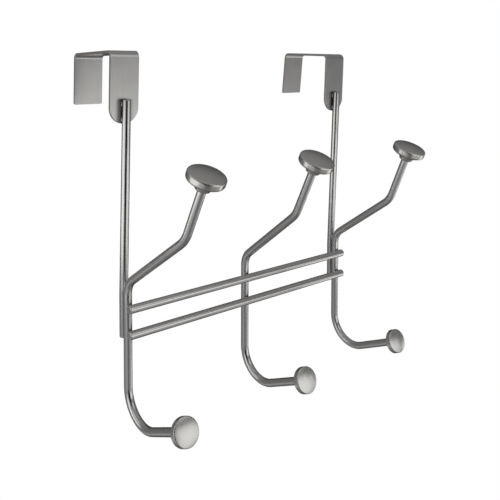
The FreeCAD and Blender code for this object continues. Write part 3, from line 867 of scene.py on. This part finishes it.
@dataclass
class Hook:
    """One double hook: a bent wire with a broad knob above and a button below."""

    side: Side
    shoulder_turn: float
    stem_tilt: float
    arm_twist: float = 0.0
    cradle_radius: float = 20.8
    cradle_turn: float = 112.6
    arm_run: float = 37.1
    shoulder_radius: float = 12.5
    elbow_radius: float = 20.0
    reach_run: float = 57.0
    stem_run: float = 38.6
    cradle_steps: int = 48
    shoulder_steps: int = 24
    elbow_steps: int = 20
    sides: int = 64

    def path(self) -> BentPath:
        """Centre line of the wire, from the button's end up to the broad knob's."""
        cradle = math.radians(self.cradle_turn)
        rise, stem = math.radians(self.shoulder_turn), math.radians(self.stem_tilt)
        soften = (self.elbow_radius - self.shoulder_radius) * math.tan((rise - stem) / 2)
        place = SIZES.hook_place(self.side)
        start = Vector((
            0,
            -self.cradle_radius * (1 - math.cos(cradle)) - self.arm_run * math.sin(cradle),
            -SIZES.hook_middle_below - self.cradle_radius * math.sin(cradle) - self.arm_run * math.cos(cradle)))
        heading = Vector((0, math.sin(cradle), math.cos(cradle)))
        return BentPath(place @ (start * MM), place.to_3x3() @ heading, [
            Run(self.arm_run * MM),
            Bend(self.cradle_radius * MM, cradle, self.cradle_steps),
            Twist(math.radians(self.arm_twist)),
            Run((SIZES.hook_middle_below + SIZES.hook_middle_above) * MM),
            Bend(self.shoulder_radius * MM, rise, self.shoulder_steps),
            Run((self.reach_run - soften) * MM),
            Bend(self.elbow_radius * MM, stem - rise, self.elbow_steps),
            Run((self.stem_run - soften) * MM),
        ])

    def build(self, path: BentPath) -> bpy.types.Object:
        """Models the wire along its path.

        Returns:
            The finished mesh.
        """
        piece = Bench.ring(f"hook_wire_{self.side.value}", SIZES.wire_radius * MM, self.sides,
                           path.start_place)
        path.sweep()
        Bench.cap_ends()
        Bench.finish(piece)
        record_blank(piece, path.unbend)
        return piece

    def dress(self, wire: bpy.types.Material, turned: bpy.types.Material) -> None:
        """Builds the wire with its knob and button and gives them their finishes."""
        path = self.path()
        dress(self.build(path), wire, f"hook_{self.side.value}")
        Knob(self.side).dress(turned, path.end_place)
        Button(self.side).dress(turned, path.start_place @ Matrix.Rotation(math.radians(180), 4, "X"))


@dataclass(frozen=True)
class Ring:
    """A circle of a turned outline, in millimetres, whose edge can be rounded to a radius."""

    radius: float
    height: float
    rounding: float = 0.0

    def setback(self, before: "Ring", after: "Ring") -> float:
        """Distance of the rounding's edges from the sharp one, between the rings before and after."""
        inwards = math.atan2(self.height - before.height, self.radius - before.radius)
        outwards = math.atan2(after.height - self.height, after.radius - self.radius)
        turn = abs((outwards - inwards + math.pi) % (2 * math.pi) - math.pi)
        return self.rounding * math.tan(turn / 2)


@dataclass
class TurnedPiece:
    """A round piece turned from bar: its outline runs from the socket's floor to the rim of its dome.

    The dome has so few rings that the first lies further in than the rim's rounding reaches.
    """

    name: str
    outline: Sequence[Ring]
    dome_rise: float
    dome_rings: int = 12
    dome_middle: float = 0.2
    round_steps: int = 5
    sides: int = 128

    def build(self, place: Matrix) -> bpy.types.Object:
        """Models the piece ring by ring.

        Args:
            place: Placement whose Z runs along the wire, out through the face.

        Returns:
            The finished mesh.
        """
        rings = [*self.outline, *self._dome()]
        widest = max(self._setbacks(rings))
        first = rings[0]
        piece = Bench.ring(self.name, first.radius * MM, self.sides, Matrix.Translation((0, 0, first.height * MM)))
        Bench.fill()
        for before, ring, setback in zip(rings, rings[1:], [*self._setbacks(rings), 0.0]):
            Bench.extrude(Vector((0, 0, (ring.height - before.height) * MM)))
            scale = ring.radius / before.radius
            bpy.ops.transform.resize(value=(scale, scale, 1), center_override=(0, 0, ring.height * MM))
            Bench.set_bevel_weight(setback / widest)
        Bench.bevel(piece, widest * MM, self.round_steps)
        Bench.finish(piece)
        record_blank(piece, self._unturn)
        piece.data.transform(place)
        return piece

    def _dome(self) -> list[Ring]:
        """Evenly spaced rings of the dome; the last is a small share of the spacing from the middle."""
        rim = self.outline[-1]
        ball = (rim.radius ** 2 + self.dome_rise ** 2) / (2 * self.dome_rise)
        centre = rim.height + self.dome_rise - ball
        spacing = rim.radius / (self.dome_rings + self.dome_middle)
        spans = [rim.radius - step * spacing for step in range(1, self.dome_rings + 1)]
        return [Ring(span, centre + math.sqrt(ball ** 2 - span ** 2)) for span in spans]

    @staticmethod
    def _setbacks(rings: Sequence[Ring]) -> list[float]:
        """Setback of the rounding at each ring but the first and last."""
        return [ring.setback(before, after) for before, ring, after in zip(rings, rings[1:], rings[2:])]

    @staticmethod
    def _unturn(point: Vector) -> Vector:
        """Place on the turned outline, with a slow change round the axis."""
        across = math.hypot(point.x, point.y)
        return Vector((across - point.z, point.x / across * MM, point.y / across * MM))


@dataclass
class Knob:
    """The broad knob of an upper arm: dome, straight wall, rounded shoulder, collar and conical neck."""

    side: Side
    radius: float = 12.1
    dome_rise: float = 1.1
    wall: float = 4.3
    rim_round: float = 1.1
    neck_round: float = 0.6
    shoulder_radius: float = 9.2
    shoulder_drop: float = 1.7
    shoulder_round: float = 1.5
    collar_radius: float = 6.4
    neck_radius: float = 4.7
    neck_length: float = 4.2
    socket: float = 6.6

    def dress(self, material: bpy.types.Material, place: Matrix) -> None:
        """Builds the knob on its wire's end and gives it its finish."""
        under = self.neck_length - self.socket
        wall_end = under + self.shoulder_drop
        piece = TurnedPiece(f"knob_turned_upper_{self.side.value}", [
            Ring(SIZES.bore, 0.0),
            Ring(SIZES.bore, -self.socket),
            Ring(self.neck_radius, -self.socket, self.neck_round),
            Ring(self.collar_radius, under),
            Ring(self.shoulder_radius, under, self.shoulder_round),
            Ring(self.radius, wall_end, self.shoulder_round),
            Ring(self.radius, wall_end + self.wall, self.rim_round),
        ], self.dome_rise)
        dress(piece.build(place), material, f"knob_upper_{self.side.value}")


@dataclass
class Button:
    """The smaller knob of a lower arm, with a flat back."""

    side: Side
    radius: float = 8.8
    dome_rise: float = 0.9
    wall: float = 4.1
    rounding: float = 0.6
    socket: float = 2.3

    def dress(self, material: bpy.types.Material, place: Matrix) -> None:
        """Builds the button on its wire's end and gives it its finish."""
        piece = TurnedPiece(f"knob_turned_lower_{self.side.value}", [
            Ring(SIZES.bore, 0.0),
            Ring(SIZES.bore, -self.socket),
            Ring(self.radius, -self.socket, self.rounding),
            Ring(self.radius, self.wall - self.socket, self.rounding),
        ], self.dome_rise)
        dress(piece.build(place), material, f"knob_lower_{self.side.value}")


# Studio


def glow_material(name: str, radiance: float) -> bpy.types.Material:
    """A material that shines evenly, whatever light falls on it."""
    material = bpy.data.materials.new(name)
    tree = NodeTree(material)
    glow = tree.node("ShaderNodeEmission", {}, {"Color": WHITE, "Strength": radiance})
    tree.node("ShaderNodeOutputMaterial", {}, {"Surface": glow})
    return material


@dataclass(frozen=True)
class Panel:
    """An upright rectangle that faces the rack: a softbox, or a card that hides what is behind it.

    Middle, width and height are in metres. The azimuth is the side of the rack where the panel
    stands: 0 in front of the rack, 90 degrees at its right end and -90 at its left.
    """

    name: str
    kind: Kind
    middle: tuple[float, float, float]
    azimuth_deg: float
    width: float
    height: float
    radiance: float

    def place(self) -> None:
        """Adds the panel, unseen by the camera."""
        panel = self._light() if self.kind is Kind.LIGHT else self._card()
        azimuth = math.radians(self.azimuth_deg)
        away = Vector((math.sin(azimuth), -math.cos(azimuth), 0))
        turned = away.to_track_quat("Z", "Y").to_matrix().to_4x4()
        panel.matrix_world = Matrix.Translation(self.middle) @ turned
        panel.visible_camera = False

    def _light(self) -> bpy.types.Object:
        """A softbox whose face glows with the wanted radiance."""
        data = bpy.data.lights.new(self.name, "AREA")
        data.shape = "RECTANGLE"
        data.size, data.size_y = self.width, self.height
        data.energy = self.radiance * math.pi * self.width * self.height
        lamp = bpy.data.objects.new(self.name, data)
        bpy.context.scene.collection.objects.link(lamp)
        return lamp

    def _card(self) -> bpy.types.Object:
        """A matt card with an even, dim radiance."""
        Bench.clear()
        bpy.ops.mesh.primitive_plane_add(size=1.0)
        card = bpy.context.object
        card.name = self.name
        card.data.transform(Matrix.Diagonal((self.width, self.height, 1.0, 1.0)))
        card.data.materials.append(glow_material(self.name, self.radiance))
        return card


@dataclass(frozen=True)
class Studio:
    """A white floor and backdrop, soft panels beside the camera and a dim room for the metal to mirror.

    The greys are stops of the room's radiance from straight below (0) to straight above (1), before
    and behind the rack. Round the direction that behind gives, the room fades to behind_grey.
    """

    floor_drop: float = 0.42
    floor_size: float = 14.0
    front_greys: tuple[tuple[float, float], ...] = (
        (0.0, 0.14), (0.1, 0.24), (0.2, 0.52), (0.3, 0.43), (0.42, 0.27), (0.5, 0.20), (0.75, 0.19), (1.0, 0.36))
    back_greys: tuple[tuple[float, float], ...] = (
        (0.0, 0.20), (0.11, 0.28), (0.17, 0.48), (0.22, 0.38), (0.32, 0.21), (0.5, 0.19), (0.75, 0.19), (1.0, 0.36))
    behind: tuple[float, float, float] = (0.60, 0.72, -0.35)
    behind_grey: float = 0.06
    behind_start: float = 0.5
    behind_gain: float = 3.5
    back_gain: float = 1.5
    panels: tuple[Panel, ...] = (
        Panel("right_panel", Kind.LIGHT, (0.13, -0.42, -0.171), 0.0, 0.34, 0.214, 0.89),
        Panel("right_panel_far", Kind.LIGHT, (0.40, -0.42, -0.19), 0.0, 0.20, 0.17, 0.72),
        Panel("right_panel_upper", Kind.LIGHT, (0.14, -0.42, 0.21), 0.0, 0.34, 0.32, 0.70),
        Panel("right_panel_side", Kind.LIGHT, (0.60, -0.29, -0.46), 90.0, 0.26, 0.48, 0.82),
        Panel("left_panel", Kind.LIGHT, (-0.50, 0.05, -0.171), -90.0, 0.56, 0.214, 1.0),
        Panel("left_panel_upper", Kind.LIGHT, (-0.50, 0.05, 0.21), -90.0, 0.56, 0.32, 0.60),
        Panel("camera_card", Kind.CARD, (-0.25, -0.40, -0.10), -32.0, 0.30, 0.40, 0.0),
        Panel("camera_card_low", Kind.CARD, (-0.25, -0.40, -0.46), -32.0, 0.30, 0.32, 0.18),
    )

    def build(self) -> None:
        """Adds the floor, the surroundings and the panels."""
        self._floor()
        self._surroundings()
        for panel in self.panels:
            panel.place()
        bpy.context.scene.view_settings.view_transform = "Standard"

    def _floor(self) -> None:
        """A wide white floor below the hanging rack, which the metal doesn't mirror."""
        Bench.clear()
        bpy.ops.mesh.primitive_plane_add(size=self.floor_size, location=(0, 0, -self.floor_drop))
        floor = bpy.context.object
        floor.name = "studio_floor"
        floor.data.materials.append(glow_material("studio_white", 1.0))
        floor.visible_glossy = False
        floor.visible_diffuse = False
        floor.visible_shadow = False

    def _surroundings(self) -> None:
        """White where the camera looks, and in what the metal mirrors a dim room, darkest behind the rack."""
        world = bpy.data.worlds.new("studio_room")
        bpy.context.scene.world = world
        tree = NodeTree(world)
        direction = tree.node("ShaderNodeTexCoord", {}, output="Generated")
        height = tree.node("ShaderNodeSeparateXYZ", {}, {0: direction}, output="Z") * 0.5 + 0.5
        depth = tree.node("ShaderNodeSeparateXYZ", {}, {0: direction}, output="Y")
        front = tree.node("ShaderNodeValToRGB", {"stops": self.front_greys}, {"Fac": height})
        back = tree.node("ShaderNodeValToRGB", {"stops": self.back_greys}, {"Fac": height})
        grey = tree.mix((0.5 + self.back_gain * depth).clamp(), front, back)
        behind = tree.node("ShaderNodeCombineXYZ", {}, dict(enumerate(self.behind)))
        facing = direction.vector("DOT_PRODUCT", behind, output="Value")
        grey = tree.mix((self.behind_gain * (facing - self.behind_start)).clamp(),
                        grey, (self.behind_grey,) * 3 + (1.0,))
        room = tree.node("ShaderNodeBackground", {}, {"Color": grey, "Strength": 1.0})
        white = tree.node("ShaderNodeBackground", {}, {"Color": WHITE, "Strength": 1.0})
        seen = tree.node("ShaderNodeLightPath", {}, output="Is Camera Ray")
        mixed = tree.node("ShaderNodeMixShader", {}, {0: seen, 1: room, 2: white})
        tree.node("ShaderNodeOutputWorld", {}, {"Surface": mixed})


def main() -> None:
    """Builds the rack piece by piece, then its studio."""
    logging.basicConfig(level=logging.INFO, format="%(message)s")
    Photographer().place()
    # the rods given to each finish are the touching wires beside which shade is painted into its colour
    strap = STRAP_FINISH.material("bracket", SIZES.upright_rods())
    left_hook, _, right_hook = SIZES.hook_rods()
    upright_wire = WIRE_FINISH.material("upright", [left_hook, right_hook])
    bar_wire = WIRE_FINISH.material("crossbar", SIZES.hook_rods())
    hook_wire = WIRE_FINISH.material("hook", SIZES.bar_rods())
    turned = KNOB_FINISH.material("turned")
    for bracket in (Bracket(Side.LEFT, top_fall=4.1), Bracket(Side.RIGHT, top_fall=0.7)):
        bracket.dress(strap)
    for side in (Side.LEFT, Side.RIGHT):
        Upright(side).dress(upright_wire)
    for level in Level:
        Crossbar(level).dress(bar_wire)
    hooks = (
        Hook(Side.LEFT, shoulder_turn=55.6, stem_tilt=24.3, arm_twist=6.3),
        Hook(Side.CENTER, shoulder_turn=53.0, stem_tilt=26.2),
        Hook(Side.RIGHT, shoulder_turn=56.0, stem_tilt=23.1),
    )
    for hook in hooks:
        hook.dress(hook_wire, turned)
    Studio().build()


if __name__ == "__main__":
    main()
